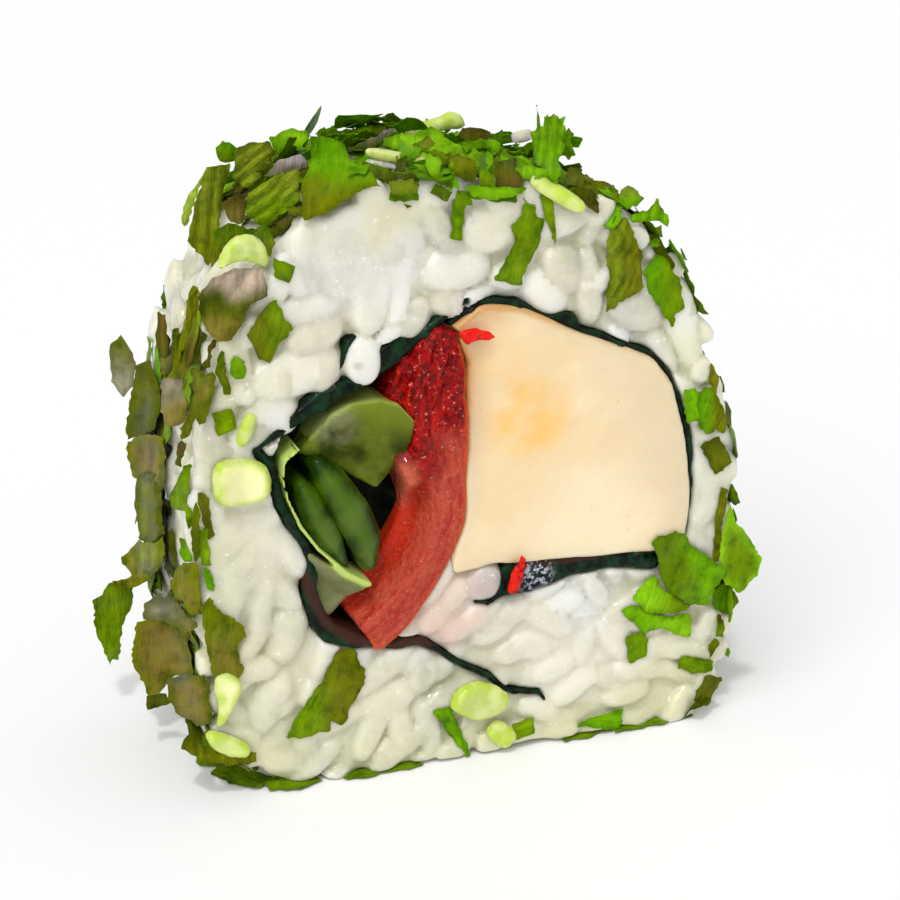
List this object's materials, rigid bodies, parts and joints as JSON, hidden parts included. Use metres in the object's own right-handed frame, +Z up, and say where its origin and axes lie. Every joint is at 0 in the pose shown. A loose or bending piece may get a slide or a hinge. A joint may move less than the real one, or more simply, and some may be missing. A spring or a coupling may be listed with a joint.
{
  "type": "uramaki",
  "caption": "Piece of uramaki cut from an inside-out sushi roll: herb-coated rice round a sheet of nori that wraps cheese, red pepper and folded greens.",
  "frame": {"origin": "on the surface the piece stands on, under the middle of its box", "axes": "+Z up, Y along the roll's axis through the slice's thickness with the pictured cut face at -Y, X across the cut face"},
  "size_m": [0.0453, 0.02, 0.048],
  "materials": {
    "rice": "moist cooked rice, slightly translucent",
    "nori": "damp seaweed sheet, dark green to black",
    "cheese": "smooth pale cream, satin",
    "pepper": "wet red pepper flesh, glossy",
    "stem": "wet dark green leaf rib, glossy",
    "lettuce": "wet lettuce leaf, yellow green"
  },
  "bodies": {
    "root": {"rice": "rice", "nori": "nori", "cheese_block": "cheese", "pepper_strip": "pepper", "green_stem_long": "stem", "green_stem_short": "stem", "lettuce_fold": "lettuce", "lettuce_wrap": "lettuce", "lettuce_heart": "lettuce"}
  },
  "joints": []
}
